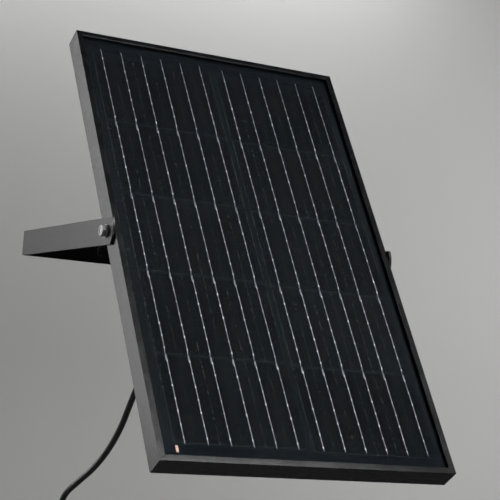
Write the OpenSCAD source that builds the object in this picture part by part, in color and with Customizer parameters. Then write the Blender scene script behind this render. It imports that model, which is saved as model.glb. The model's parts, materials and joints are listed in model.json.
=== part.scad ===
// Solar panel of a flood light set, tilting between the arms of a U-shaped wall bracket.
// Origin: centre of the bracket's back face, on the wall. +X right seen from the front, +Y into the
// wall, +Z up. Lengths in millimetres, angles in degrees.

/* [Panel] */
// Width of the panel across its frame
panel_w = 235; // [228:1:260]
// Length of the panel along its frame
panel_l = 392; // [384:1:440]
// Width of the frame's front lip
lip_w = 4.8; // [4:0.1:6]
// Wall thickness of the frame extrusion
rail_t = 1.3; // [1:0.1:1.6]
// Tilt of the panel at rest, top edge towards the wall
tilt = 34.4; // [30:0.1:40]

/* [Cells] */
// Width of one cell, across its ribbons
cell_w = 105; // [98:0.5:107]
// Height of one cell, along its ribbons
cell_h = 70.6; // [60:0.2:71]
// Distance between rows of cells
row_pitch = 71.5; // [71.2:0.1:73]
// Distance between two ribbons
ribbon_pitch = 17.5; // [14:0.1:17.8]
// Width of a ribbon
ribbon_w = 0.9; // [0.6:0.1:1.5]

/* [Bracket] */
// Distance from the wall to the pivot axis
pivot_out = 183; // [181:1:200]
// Height of the bracket's strip
strip_h = 20; // [16:1:24]
// Thickness of the bracket's strip
strip_t = 2; // [1.5:0.1:2.5]
// Distance from the pivot axis to the tips of the arms
arm_tip = 11.8; // [10:0.1:16]
// Distance between the two wall screws
screw_gap = 100; // [80:1:140]

/* [Junction box] */
// Width of the junction box
box_w = 58; // [54:1:64]
// Height of the junction box along the panel
box_h = 46; // [42:1:50]
// Height of the junction box off the back sheet
box_d = 15; // [15:0.5:18]

/* [Cable] */
// Diameter of the cable
cable_d = 5; // [4.6:0.1:5.2]
// Radius of the coil at the middle of its turns
coil_r = 30; // [29:0.5:31]

/* [Hidden] */
$fn = 48;

// Depths in the panel, from the pivot axis; negative is towards the front.
pivot_depth = 10;
frame_d = 17;
front_y = -pivot_depth;
rear_y = frame_d - pivot_depth;
lip_t = 1.1;
tape_t = 0.2;
glass_t = 2.5;
film_t = 0.25;
ribbon_t = 0.15;
cell_t = 0.2;
glass_y = front_y + lip_t + tape_t;
front_film_y = glass_y + glass_t;
ribbon_y = front_film_y + film_t;
cell_y = ribbon_y + ribbon_t;
rear_film_y = cell_y + cell_t;
sheet_y = rear_film_y + film_t;
laminate_end = sheet_y + film_t;
shelf_y = laminate_end + tape_t;
shelf_t = 1;

// Frame section, across the rail from its outer face.
chamber_w = 8.4;
flange_w = 13;
mitre_gap = 0.05;
laminate_in = 2.2;
half_w = panel_w / 2;
half_l = panel_l / 2;
glass_w = panel_w - 2 * laminate_in;
glass_l = panel_l - 2 * laminate_in;

// Cells: two columns of five.
rows = 5;
ribbons_per_cell = 6;
column_x = [-52.7, 54.7];
column_drop = [0, -2];
cells_bottom = -180;
ribbon_low = -182;
ribbon_high = 182.6;
collector_z = -184.8;
collector_h = 5.6;

// Bracket.
arm_gap = 0.2;
arm_x = half_w + arm_gap;
bend_out = 3.6;
tip_r = 20;
bolt_r = 2.5;
pivot_hole_r = 2.58;
centre_hole_r = 3.25;
screw_hole_r = 2.6;
screw_neck_r = 2.4;
screw_r = 2;

// Junction box and gland, in the panel's own directions.
box_x = -30;
box_z = 89;
box_wall = 2;
box_y = laminate_end + 0.3;
lid_t = 2.2;
gland_y = 2.35;
gland_z = box_z - box_h / 2;
boot_len = 25;
gland_hex_len = 5;
nut_len = 9;
boot_top = gland_z - gland_hex_len - nut_len;
boot_end = boot_top - boot_len;

// Cable: the lead's route from the boot to the coil, by hand, in the bracket's directions.
boot_at = on_panel([box_x, gland_y, boot_end]);
boot_next = on_panel([box_x, gland_y, boot_end - 9]);
lead_route = [
    boot_at, boot_next,
    [-31, -176, -2], [-34, -178, -20], [-39, -175, -39], [-45, -168, -57],
    [-51, -158, -74], [-57, -146, -91], [-61, -131, -108], [-60, -115, -124],
    [-59, -98, -143], [-60, -79, -162], [-63, -58, -179], [-67, -35, -193],
    [-69, -15, -205], [-69.5, -6, -220], [-68, -4.5, -236], [-67.5, -4.5, -250]
];
coil_at = [-30, -17, -257];
coil_discs = 6;
coil_layers = 4;
coil_half_w = coil_discs * cable_d / 2;
coil_half_t = coil_layers * cable_d / 2;
tail_route = [
    [-67.5, -29.5, -260], [-67.8, -29.6, -268], [-68.4, -30, -277], [-68.4, -30, -286], [-68.4, -30, -294]
];
plug_at = [-68.4, -30, -294];
grip_len = 34;
barrel_len = 9.5;
collar_r = 3.4;
tube_sides = 10;

// A point of the panel, in the bracket's directions.
function on_panel(p) = [
    p.x,
    -pivot_out + p.y * cos(tilt) + p.z * sin(tilt),
    -p.y * sin(tilt) + p.z * cos(tilt)
];

function unit(v) = v / norm(v);

// A smooth curve through the points, with n steps between each two.
function between(a, b, c, d, t) =
    0.5 * (2 * b + (c - a) * t + (2 * a - 5 * b + 4 * c - d) * t * t + (3 * b - a - 3 * c + d) * t * t * t);
function smooth(p, n) = [
    for (i = [0 : len(p) - 2])
        for (k = [0 : n - 1])
            between(p[max(i - 1, 0)], p[i], p[i + 1], p[min(i + 2, len(p) - 1)], k / n),
    p[len(p) - 1]
];
function tangent(p, i) = unit(p[min(i + 1, len(p) - 1)] - p[max(i - 1, 0)]);

// A ring of points round the path's point i, square to the path.
function ring(p, i, r, sides) =
    let (
        along = tangent(p, i),
        across = unit([1, 0, 0] - along * along.x),
        third = cross(along, across)
    )
    [for (j = [0 : sides - 1]) p[i] + r * (cos(360 * j / sides) * across + sin(360 * j / sides) * third)];

// A round tube of radius r that follows the path.
module tube(path, r, sides) {
    rings = len(path);
    points = [for (i = [0 : rings - 1]) each ring(path, i, r, sides)];
    walls = [
        for (i = [0 : rings - 2])
            for (j = [0 : sides - 1])
                [
                    i * sides + j,
                    (i + 1) * sides + j,
                    (i + 1) * sides + (j + 1) % sides,
                    i * sides + (j + 1) % sides
                ]
    ];
    first_end = [[for (j = [0 : sides - 1]) j]];
    last_end = [[for (j = [0 : sides - 1]) rings * sides - 1 - j]];
    polyhedron(points = points, faces = concat(walls, first_end, last_end), convexity = 8);
}

// Puts a piece of the panel, modelled round the pivot axis with the panel upright, at its tilt.
module panel_place() {
    translate([0, -pivot_out, 0]) rotate([-tilt, 0, 0]) children();
}

// A box by its lowest and highest corners.
module block(low, high) {
    translate(low) cube(high - low);
}

// A cylinder along +Y from the given point.
module rod_y(at, r, length) {
    translate(at) rotate([-90, 0, 0]) cylinder(r = r, h = length);
}

// A cylinder along +X from the given point.
module rod_x(at, r, length) {
    translate(at) rotate([0, 90, 0]) cylinder(r = r, h = length);
}

// ---------------------------------------------------------------- bracket

// The U in plan: two arms, the base along the wall and the two bends.
module bracket_plan() {
    outer_x = arm_x + strip_t;
    for (side = [-1, 1]) {
        scale([side, 1]) translate([arm_x, -pivot_out - arm_tip]) square([strip_t, pivot_out + arm_tip - bend_out]);
        intersection() {
            translate([side * (outer_x - bend_out), -bend_out]) difference() {
                circle(r = bend_out);
                circle(r = bend_out - strip_t);
            }
            scale([side, 1]) translate([outer_x - bend_out, -bend_out]) square(bend_out + 1);
        }
    }
    translate([-outer_x + bend_out, -strip_t]) square([2 * (outer_x - bend_out), strip_t]);
}

// The strip from the side: straight, with its tip rounded off.
module bracket_side() {
    tip_y = -pivot_out - arm_tip;
    translate([tip_y + tip_r, -strip_h / 2]) square([-tip_y - tip_r + 1, strip_h]);
    intersection() {
        translate([tip_y + tip_r, 0]) circle(r = tip_r, $fn = 96);
        translate([tip_y, -strip_h / 2]) square([tip_r, strip_h]);
    }
}

module u_bracket() {
    color("#3b3b3d")
    difference() {
        intersection() {
            translate([0, 0, -strip_h / 2]) linear_extrude(strip_h) bracket_plan();
            translate([-arm_x - 10, 0, 0]) rotate([90, 0, 90]) linear_extrude(2 * arm_x + 20) bracket_side();
        }
        rod_x([-arm_x - 10, -pivot_out, 0], pivot_hole_r, 2 * arm_x + 20);
        rod_y([0, -strip_t - 1, 0], centre_hole_r, strip_t + 2);
        for (side = [-1, 1]) rod_y([side * screw_gap / 2, -strip_t - 1, 0], screw_hole_r, strip_t + 2);
    }
}

// One wall screw: pan head with a cross recess in front of the washer, a thicker neck through the
// bracket, and a pointed shank into the wall.
module wall_screw() {
    head_y = -strip_t - 1;
    rotate([90, 0, 0]) difference() {
        rotate_extrude() polygon([
            [0, -30], [0.3, -30], [screw_r, -25], [screw_r, -0.6], [screw_neck_r, -0.2],
            [screw_neck_r, -head_y], [4.5, -head_y], [4.5, -head_y + 1.6], [3.6, -head_y + 2.8],
            [0, -head_y + 3.2]
        ]);
        for (turn = [0, 90]) rotate(turn) translate([-2.2, -0.5, -head_y + 1.6]) cube([4.4, 1, 3]);
    }
}

module wall_screws() {
    color("#1c1c1e")
    for (side = [-1, 1]) translate([side * screw_gap / 2, 0, 0]) wall_screw();
}

module wall_washers() {
    color("#2c2c2e")
    for (side = [-1, 1]) difference() {
        rod_y([side * screw_gap / 2, -strip_t - 1, 0], 6, 1);
        rod_y([side * screw_gap / 2, -strip_t - 2, 0], screw_neck_r + 0.2, 3);
    }
}

// ---------------------------------------------------------------- frame

// The rail's section: x inwards from the outer face, y from the front to the back.
module rail_section() {
    difference() {
        union() {
            translate([0, front_y]) square([rail_t, frame_d]);
            translate([0, front_y]) square([lip_w, lip_t]);
            translate([0, shelf_y]) square([chamber_w + rail_t, rear_y - shelf_y]);
            translate([0, rear_y - rail_t]) square([flange_w, rail_t]);
        }
        translate([rail_t, shelf_y + shelf_t]) square([chamber_w - rail_t, rear_y - rail_t - shelf_y - shelf_t]);
    }
}

// A rail along +Z on the left of the panel, with its ends cut at 45 degrees.
module rail(length, width) {
    intersection() {
        translate([-width / 2, 0, -length / 2]) linear_extrude(length) rail_section();
        translate([0, rear_y + 1, 0]) rotate([90, 0, 0]) linear_extrude(frame_d + 2) polygon([
            [-width / 2, -length / 2 + mitre_gap],
            [-width / 2, length / 2 - mitre_gap],
            [-width / 2 + 20, length / 2 - 20 - mitre_gap],
            [-width / 2 + 20, -length / 2 + 20 + mitre_gap]
        ]);
    }
}

module side_rail() {
    difference() {
        rail(panel_l, panel_w);
        rod_x([-half_w - 1, 0, 0], bolt_r + 0.3, rail_t + 2);
    }
}

module frame_rail_left() {
    color("#4a4a4d") panel_place() side_rail();
}

module frame_rail_right() {
    color("#262628") panel_place() mirror([1, 0, 0]) side_rail();
}

module frame_rail_bottom() {
    color("#262628") panel_place() rotate([0, -90, 0]) rail(panel_w, panel_l);
}

module frame_rail_top() {
    color("#262628") panel_place() rotate([0, 90, 0]) rail(panel_w, panel_l);
}

// L-shaped keys pressed into the rails' chambers at the corners.
module corner_keys() {
    low = shelf_y + shelf_t + 0.2;
    high = rear_y - rail_t - 0.2;
    leg = 26;
    key_w = chamber_w - rail_t - 0.4;
    color("#9a9a9c") panel_place()
    for (sx = [0, 1]) for (sz = [0, 1]) mirror([sx, 0, 0]) mirror([0, 0, sz])
        translate([-half_w + rail_t + 0.2, high, -half_l + rail_t + 0.2]) rotate([90, 0, 0])
        linear_extrude(high - low) {
            square([key_w, leg]);
            square([leg, key_w]);
        }
}

// ---------------------------------------------------------------- laminate

// A flat layer of the laminate, size w by l, from depth y.
module layer(w, l, y, t) {
    block([-w / 2, y, -l / 2], [w / 2, y + t, l / 2]);
}

// Foam tape folded round the laminate's edge, inside the frame's groove.
module edge_tape() {
    inner_w = glass_w - 2 * (lip_w - laminate_in) + 0.6;
    inner_l = glass_l - 2 * (lip_w - laminate_in) + 0.6;
    color("#151515") panel_place() difference() {
        layer(glass_w + 0.8, glass_l + 0.8, glass_y - tape_t, laminate_end - glass_y + 2 * tape_t);
        layer(glass_w, glass_l, glass_y, laminate_end - glass_y);
        layer(inner_w, inner_l, glass_y - 1, 10);
    }
}

module front_glass() {
    color("#10141c") panel_place() layer(glass_w, glass_l, glass_y, glass_t);
}

module front_encapsulant() {
    color("#1a1d24") panel_place() layer(glass_w, glass_l, front_film_y, film_t);
}

// One column of cells, each with its corners cut.
module cell_column(side) {
    cut = 1.2;
    w = cell_w / 2;
    for (row = [0 : rows - 1])
        translate([column_x[side], cell_y + cell_t, cells_bottom + column_drop[side] + row * row_pitch])
        rotate([90, 0, 0]) linear_extrude(cell_t) polygon([
            [-w + cut, 0], [w - cut, 0], [w, cut], [w, cell_h - cut],
            [w - cut, cell_h], [-w + cut, cell_h], [-w, cell_h - cut], [-w, cut]
        ]);
}

module cells_left() {
    color("#0c1018") panel_place() cell_column(0);
}

module cells_right() {
    color("#0c1018") panel_place() cell_column(1);
}

// The flat ribbons down the front of each cell, one piece per cell and ribbon.
module tab_ribbons() {
    color("#c9ccd2") panel_place()
    for (side = [0, 1]) for (row = [0 : rows - 1]) for (k = [0 : ribbons_per_cell - 1]) {
        x = column_x[side] + (k - (ribbons_per_cell - 1) / 2) * ribbon_pitch;
        row_z = cells_bottom + column_drop[side] + row * row_pitch;
        low = row == 0 ? ribbon_low : row_z + 0.3;
        high = row == rows - 1 ? ribbon_high : row_z + row_pitch - 0.3;
        block([x - ribbon_w / 2, ribbon_y, low], [x + ribbon_w / 2, ribbon_y + ribbon_t, high]);
    }
}

// The black-coated ribbons across the ends of the columns, in the cells' plane.
module collector_ribbons() {
    top_z = 182.6;
    color("#101216") panel_place() {
        block([-98, cell_y, collector_z - 2.2], [100, cell_y + cell_t, collector_z + 2.2]);
        block([-98, cell_y, top_z - 3], [-6, cell_y + cell_t, top_z + 1]);
        block([9, cell_y, top_z - 3], [100, cell_y + cell_t, top_z + 1]);
    }
}

// The dark strip that hides the lower collector ribbon.
module ribbon_cover() {
    color("#0e1117") panel_place()
    block([-96, ribbon_y, collector_z - collector_h / 2], [105, cell_y, collector_z + collector_h / 2 - 0.2]);
}

// The bare copper end of the collector ribbon.
module copper_tab() {
    color("#c8784a") panel_place()
    block([-102.2, ribbon_y, collector_z - 2.3], [-100.4, cell_y + cell_t, collector_z + 2.7]);
}

module rear_encapsulant() {
    color("#20242b") panel_place() difference() {
        layer(glass_w, glass_l, rear_film_y, film_t);
        tail_slots();
    }
}

module back_sheet() {
    color("#1b1b1d") panel_place() difference() {
        layer(glass_w, glass_l, sheet_y, film_t);
        tail_slots();
    }
}

// The two slots where the output tails pass to the junction box.
module tail_slots() {
    for (side = [-1, 1])
        block([box_x + side * 9 - 2.5, cell_y, box_z + 9], [box_x + side * 9 + 2.5, box_y, box_z + 10.4]);
}

// ---------------------------------------------------------------- junction box

// A box shape with round corners, standing on depth y, around the junction box's centre.
module box_shape(w, h, r, y, d) {
    translate([box_x, y + d, box_z]) rotate([90, 0, 0]) linear_extrude(d) {
        square([w - 2 * r, h], center = true);
        square([w, h - 2 * r], center = true);
        for (sx = [-1, 1]) for (sz = [-1, 1]) translate([sx * (w / 2 - r), sz * (h / 2 - r)]) circle(r = r);
    }
}

// Something at each of the lid's four screws.
module at_lid_screws() {
    for (sx = [-1, 1]) for (sz = [-1, 1])
        translate([box_x + sx * (box_w / 2 - 4.5), 0, box_z + sz * (box_h / 2 - 4.5)]) children();
}

module box_adhesive() {
    color("#d8d8d4") panel_place() difference() {
        box_shape(box_w - 3, box_h - 3, 2, laminate_end, 0.3);
        box_shape(box_w - 13, box_h - 13, 2, laminate_end - 1, 3);
    }
}

module junction_box_base() {
    floor_t = 2;
    wall_d = box_d - lid_t - 0.6;
    color("#18181a") panel_place() difference() {
        union() {
            difference() {
                box_shape(box_w, box_h, 4, box_y, wall_d);
                box_shape(box_w - 2 * box_wall, box_h - 2 * box_wall, 2.4, box_y + floor_t, wall_d);
            }
            at_lid_screws() rod_y([0, box_y + 1, 0], 3, wall_d - 1);
        }
        at_lid_screws() rod_y([0, box_y + 4, 0], 1.25, box_d);
        translate([box_x, gland_y, gland_z - 1]) cylinder(r = 5, h = 6);
        block([box_x - 13, box_y - 1, box_z + 6], [box_x + 13, box_y + floor_t + 1, box_z + 13]);
    }
}

module box_gasket() {
    gasket_y = box_y + box_d - lid_t - 0.6;
    color("#2a2a2c") panel_place() difference() {
        box_shape(box_w - 1, box_h - 1, 3.5, gasket_y, 0.6);
        box_shape(box_w - 5.2, box_h - 5.2, 2, gasket_y - 1, 3);
        at_lid_screws() rod_y([0, gasket_y - 1, 0], 3.2, 4);
    }
}

module junction_box_lid() {
    lid_y = box_y + box_d - lid_t;
    color("#1d1d1f") panel_place() difference() {
        union() {
            box_shape(box_w, box_h, 4, lid_y, lid_t - 0.6);
            box_shape(box_w - 2, box_h - 2, 3.4, lid_y, lid_t);
        }
        at_lid_screws() rod_y([0, lid_y - 1, 0], 1.55, 6);
        at_lid_screws() rod_y([0, lid_y + 0.9, 0], 2.9, 6);
    }
}

module lid_screws() {
    seat_y = box_y + box_d - lid_t + 0.9;
    color("#8e8e92") panel_place() at_lid_screws() translate([0, seat_y, 0]) rotate([-90, 0, 0]) difference() {
        rotate_extrude() polygon([
            [0, -7.5], [0.2, -7.5], [1.15, -6], [1.15, 0], [2.6, 0], [2.6, 0.9], [1.9, 1.5], [0, 1.7]
        ]);
        for (turn = [0, 90]) rotate(turn) translate([-1.3, -0.3, 0.7]) cube([2.6, 0.6, 2]);
    }
}

module terminal_block() {
    color("#303034") panel_place() difference() {
        block([box_x - 15, box_y + 2, box_z - 7], [box_x + 15, box_y + 7, box_z + 4]);
        for (side = [-1, 1])
            block([box_x + side * 9 - 3.5, box_y + 4, box_z - 8], [box_x + side * 9 + 3.5, box_y + 8, box_z + 5]);
    }
}

module terminal_clips() {
    color("#c0c2c6") panel_place()
    for (side = [-1, 1]) translate([box_x + side * 9, 0, 0]) {
        block([-3, box_y + 4, box_z - 6], [3, box_y + 4.8, box_z + 8.2]);
        block([-3, box_y + 4.8, box_z - 1], [3, box_y + 6.6, box_z + 1]);
    }
}

module blocking_diode() {
    diode_y = box_y + 9;
    color("#202022") panel_place() {
        rod_x([box_x - 4, diode_y, box_z - 1], 1.5, 8);
        for (side = [-1, 1]) {
            rod_x([side > 0 ? box_x + 4 : box_x - 9.4, diode_y, box_z - 1], 0.4, 5.4);
            translate([box_x + side * 9, box_y + 6.6, box_z - 1]) rotate([-90, 0, 0]) cylinder(r = 0.4, h = 2.4);
        }
    }
}

// The laminate's two output ribbons, through the back sheet and over to the clips.
module output_tails() {
    color("#b98a5a") panel_place()
    for (side = [-1, 1]) translate([box_x + side * 9, 0, 0]) {
        block([-2, rear_film_y + 0.05, box_z + 9.5], [2, box_y + 5.4, box_z + 9.8]);
        block([-2, box_y + 4.85, box_z + 7.2], [2, box_y + 5.15, box_z + 9.5]);
    }
}

// The cable's two cores, stripped of the jacket, from the gland to the clips.
module inner_wires() {
    color("#7a1f1f") panel_place()
    for (side = [-1, 1]) {
        tube(smooth([
            [box_x + side * 1.1, gland_y, gland_z + 4.7],
            [box_x + side * 1.6, gland_y + 0.3, gland_z + 7.2],
            [box_x + side * 6, box_y + 7, box_z - 12],
            [box_x + side * 9, box_y + 6.1, box_z - 8],
            [box_x + side * 9, box_y + 5.9, box_z - 4.5]
        ], 2), 1, 8);
    }
}

// ---------------------------------------------------------------- gland

module at_gland() {
    panel_place() translate([box_x, gland_y, gland_z]) children();
}

// Threaded body with its hexagon against the box's wall.
module gland_body() {
    color("#161618") at_gland() difference() {
        union() {
            translate([0, 0, -gland_hex_len]) cylinder(r = 7, h = gland_hex_len - 0.05, $fn = 6);
            translate([0, 0, -gland_hex_len - 6]) cylinder(r = 4.9, h = gland_hex_len + 6 + 4);
        }
        translate([0, 0, -gland_hex_len - 7]) cylinder(r = 2.7, h = 30);
        translate([0, 0, -gland_hex_len - 7]) cylinder(r = 3.9, h = 5);
    }
}

module gland_seal() {
    color("#2b2b2d") at_gland() difference() {
        translate([0, 0, -gland_hex_len - 6]) cylinder(r = 3.8, h = 3.9);
        translate([0, 0, -gland_hex_len - 7]) cylinder(r = cable_d / 2 + 0.05, h = 30);
    }
}

// Domed nut with flats, screwed over the body.
module gland_nut() {
    top_z = -gland_hex_len - 0.1;
    color("#161618") at_gland() difference() {
        intersection() {
            rotate_extrude() polygon([
                [0, top_z], [6.9, top_z], [6.9, top_z - 6], [5.4, top_z - nut_len + 0.1], [0, top_z - nut_len + 0.1]
            ]);
            translate([0, 0, top_z - nut_len]) cylinder(r = 6.9, h = nut_len + 1, $fn = 8);
        }
        translate([0, 0, top_z - 6.2]) cylinder(r = 5, h = 8);
        translate([0, 0, top_z - nut_len - 1]) cylinder(r = cable_d / 2 + 0.05, h = 30);
    }
}

// Tapered strain relief with ring grooves, from the nut along the cable.
module cable_boot() {
    groove = 5;
    length = boot_top - boot_end;
    color("#121214") at_gland() translate([0, 0, boot_end - gland_z]) difference() {
        rotate_extrude() polygon([
            [cable_d / 2 + 0.05, 0], [3.3, 0], [3.5, 0.6], [5, length], [cable_d / 2 + 0.05, length]
        ]);
        for (k = [0 : 2]) translate([0, 0, 4 + k * groove]) difference() {
            cylinder(r = 8, h = 1.6);
            cylinder(r = 3.2 + 0.35 * k, h = 1.6);
        }
    }
}

// The cable inside the boot, gland and box belongs to the lead.
module cable_inside() {
    at_gland() translate([0, 0, boot_end - gland_z]) cylinder(r = cable_d / 2, h = gland_z + 4.5 - boot_end);
}

// ---------------------------------------------------------------- pivot

// Both sides of the panel, with +Z outwards along the pivot axis from the arm's outer face.
module at_pivots() {
    panel_place() for (side = [-1, 1])
        translate([side * (arm_x + strip_t), 0, 0]) rotate([0, side * 90, 0]) children();
}

module pivot_bolts() {
    washer_t = 1;
    reach = 10.5;
    color("#d6d8da") at_pivots() difference() {
        union() {
            translate([0, 0, -reach]) cylinder(r = bolt_r, h = reach + washer_t);
            intersection() {
                translate([0, 0, washer_t]) cylinder(r = 4.62, h = 3.4, $fn = 6);
                translate([0, 0, washer_t]) rotate_extrude() polygon([
                    [0, 0], [4.62, 0], [4.62, 2.9], [3.9, 3.4], [0, 3.4]
                ]);
            }
        }
        translate([0, 0, washer_t + 3.4 - 0.4]) cylinder(r = 2.6, h = 1);
    }
}

module pivot_washers() {
    color("#c4c6c8") at_pivots() difference() {
        translate([0, 0, 0.05]) cylinder(r = 5, h = 0.95);
        translate([0, 0, -1]) cylinder(r = bolt_r + 0.15, h = 3);
    }
}

// Square nuts held in the side rails' chambers.
module pivot_nuts() {
    outside = strip_t + arm_gap + rail_t + 0.1;
    color("#a8aaac") at_pivots() difference() {
        translate([-3.8, -3.8, -outside - 4]) cube([7.6, 7.6, 4]);
        translate([0, 0, -outside - 5]) cylinder(r = bolt_r + 0.05, h = 6);
    }
}

// ---------------------------------------------------------------- cable

module cable_lead() {
    color("#141416") {
        tube(smooth(lead_route, 2), cable_d / 2, tube_sides);
        cable_inside();
    }
}

// The coil's outer shape, wound round an axis square to the wall.
module cable_coil() {
    low = coil_r - coil_half_t;
    high = coil_r + coil_half_t;
    cut = 1.5;
    color("#141416") translate(coil_at) rotate([90, 0, 0]) rotate_extrude($fn = 72) polygon([
        [low + cut, -coil_half_w], [high - cut, -coil_half_w], [high, -coil_half_w + cut],
        [high, coil_half_w - cut], [high - cut, coil_half_w], [low + cut, coil_half_w],
        [low, coil_half_w - cut], [low, -coil_half_w + cut]
    ]);
}

module cable_tail() {
    color("#141416") tube(smooth(tail_route, 2), cable_d / 2, tube_sides);
}

// Two ties round the bundle, at its top and its bottom, each with its locking head in front.
module cable_ties() {
    tie_w = 3.6;
    tie_t = 1.1;
    gap = 0.1;
    in_z = coil_half_t + gap;
    in_y = coil_half_w + gap;
    color("#1f1f21") for (side = [-1, 1])
        translate([coil_at.x, coil_at.y, coil_at.z + side * coil_r]) {
            difference() {
                block([-tie_w / 2, -in_y - tie_t, -in_z - tie_t], [tie_w / 2, in_y + tie_t, in_z + tie_t]);
                block([-tie_w, -in_y, -in_z], [tie_w, in_y, in_z]);
            }
            block([-2.8, -in_y - tie_t - 3.2, -2.5], [2.8, -in_y - tie_t, 2.5]);
            block([-tie_w / 2, -in_y - tie_t - 11, -0.6], [tie_w / 2, -in_y - tie_t - 3.2, 0.6]);
        }
}

// ---------------------------------------------------------------- plug

module at_plug() {
    translate(plug_at) rotate([180, 0, 0]) children();
}

// Moulded grip with a tapered neck for the cable.
module plug_grip() {
    neck = 12;
    color("#151517") at_plug() difference() {
        rotate_extrude() polygon([
            [0, 0], [3, 0], [3.4, 0.6], [4.2, neck], [5, neck + 1.5], [5.4, neck + 4],
            [5.4, grip_len - 3], [4.6, grip_len], [0, grip_len]
        ]);
        for (k = [0 : 3]) translate([0, 0, neck + 5 + 3 * k]) difference() {
            cylinder(r = 7, h = 1.1);
            cylinder(r = 5, h = 1.1);
        }
        translate([0, 0, grip_len - 4]) cylinder(r = collar_r, h = 5);
    }
}

// The contact barrel, with a collar moulded into the grip's end.
module plug_barrel() {
    color("#c9cacc") at_plug() difference() {
        union() {
            translate([0, 0, grip_len - 4]) cylinder(r = collar_r, h = 4);
            translate([0, 0, grip_len]) cylinder(r = 2.75, h = barrel_len);
        }
        translate([0, 0, grip_len - 3]) cylinder(r = 2.1, h = barrel_len + 4);
    }
}

// The insulating sleeve inside the barrel, bored for the socket's centre pin.
module plug_insulator() {
    color("#101012") at_plug() translate([0, 0, grip_len - 3]) difference() {
        cylinder(r = 2.1, h = barrel_len + 2.6);
        translate([0, 0, 1.5]) cylinder(r = 1.05, h = barrel_len + 3);
    }
}

u_bracket();
wall_screws();
wall_washers();
frame_rail_left();
frame_rail_right();
frame_rail_top();
frame_rail_bottom();
corner_keys();
edge_tape();
front_glass();
front_encapsulant();
cells_left();
cells_right();
tab_ribbons();
collector_ribbons();
ribbon_cover();
copper_tab();
rear_encapsulant();
back_sheet();
box_adhesive();
junction_box_base();
box_gasket();
junction_box_lid();
lid_screws();
terminal_block();
terminal_clips();
blocking_diode();
output_tails();
inner_wires();
gland_body();
gland_seal();
gland_nut();
cable_boot();
pivot_bolts();
pivot_washers();
pivot_nuts();
cable_lead();
cable_coil();
cable_tail();
cable_ties();
plug_grip();
plug_barrel();
plug_insulator();
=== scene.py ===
"""Looks of the tilting solar panel on its wall bracket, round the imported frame.

Lengths are in millimetres and turned into metres by MM, except where a name ends in _M.
The row frame: +X right seen from the front, +Y into the wall, +Z up, origin on the wall.
"""

import json
import math
import random

import bpy
from mathutils import Matrix, Vector


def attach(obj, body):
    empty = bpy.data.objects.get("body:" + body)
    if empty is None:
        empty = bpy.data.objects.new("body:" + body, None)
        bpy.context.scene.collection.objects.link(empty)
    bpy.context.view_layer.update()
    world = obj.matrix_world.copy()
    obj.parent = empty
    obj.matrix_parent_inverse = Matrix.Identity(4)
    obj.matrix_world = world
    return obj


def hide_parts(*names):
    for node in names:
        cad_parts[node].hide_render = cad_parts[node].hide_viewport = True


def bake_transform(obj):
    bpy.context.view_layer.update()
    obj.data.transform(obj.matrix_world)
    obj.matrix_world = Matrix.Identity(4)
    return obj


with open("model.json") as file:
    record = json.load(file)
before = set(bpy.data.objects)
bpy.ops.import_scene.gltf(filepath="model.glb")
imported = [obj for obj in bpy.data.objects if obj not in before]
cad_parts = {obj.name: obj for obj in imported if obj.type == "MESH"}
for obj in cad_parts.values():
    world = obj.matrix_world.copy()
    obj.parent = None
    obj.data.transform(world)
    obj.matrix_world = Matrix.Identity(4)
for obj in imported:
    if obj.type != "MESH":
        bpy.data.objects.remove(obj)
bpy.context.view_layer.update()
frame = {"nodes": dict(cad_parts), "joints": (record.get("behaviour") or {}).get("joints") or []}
nodes = frame["nodes"]

MM = 0.001

# ------------------------------------------------------------------ sizes shared with the design

TILT = math.radians(34.4)
PIVOT_M = Vector(frame["joints"][0]["pos_m"])
PANEL_TURN = Matrix.Rotation(-TILT, 4, "X")
PANEL_TO_ROW = Matrix.Translation(PIVOT_M) @ PANEL_TURN @ Matrix.Scale(MM, 4)

RIBBON_Y = -5.95
RIBBON_T = 0.15
RIBBON_W = 0.34
RIBBON_PITCH = 17.5
# How far each column's ribbons stand aside, and how much they lean for each mm of height.
RIBBON_SHIFT = (0.36, 0.95)
RIBBON_LEAN = (0.0078, 0.0053)
RIBBONS_PER_CELL = 6
RIBBON_LOW = -180.6
RIBBON_HIGH = 182.6
CELL_H = 70.6
CELL_W = 105
ROW_PITCH = 71.5
ROWS = 5
COLUMN_X = (-52.7, 54.7)
COLUMN_DROP = (0, -2)
CELLS_BOTTOM = -180

GLAND_Y = 2.35
BOX_X = -30
BOOT_END_Z = 27

CABLE_R = 2.5
CABLE_D = 2 * CABLE_R
LEAD_ROUTE = (
    (-31, -176, -2), (-34, -178, -20), (-39, -175, -39), (-45, -168, -57),
    (-51, -158, -74), (-57, -146, -91), (-61, -131, -108), (-60, -115, -124),
    (-59, -98, -143), (-60, -79, -162), (-63, -58, -179), (-67, -35, -193),
    (-69, -15, -205), (-69.5, -6, -220), (-68, -4.5, -236), (-67.5, -4.5, -250),
)
COIL_AT = Vector((-30, -17, -257))
COIL_R = 30
COIL_DISCS = 6
COIL_LAYERS = 4
TAIL_ROUTE = (
    (-67.5, -29.5, -260), (-67.8, -29.6, -268), (-68.4, -30, -277), (-68.4, -30, -286),
    (-68.4, -30, -294),
)
PLUG_AT = Vector((-68.4, -30, -294))
GRIP_LEN = 34
BARREL_LEN = 9.5


def on_panel(x, y, z):
    """A point given along the panel's own directions, in the row frame, in metres."""
    return PANEL_TO_ROW @ Vector((x, y, z))


# ------------------------------------------------------------------ camera

CAMERA_AT_M = Vector((-0.5353, -1.2098, -0.1027))
CAMERA_FORWARD = Vector((0.4599, 0.8838, 0.0873))
CAMERA_UP = Vector((-0.1052, -0.0433, 0.9935))
LENS = 109.76
SENSOR = 36


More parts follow.
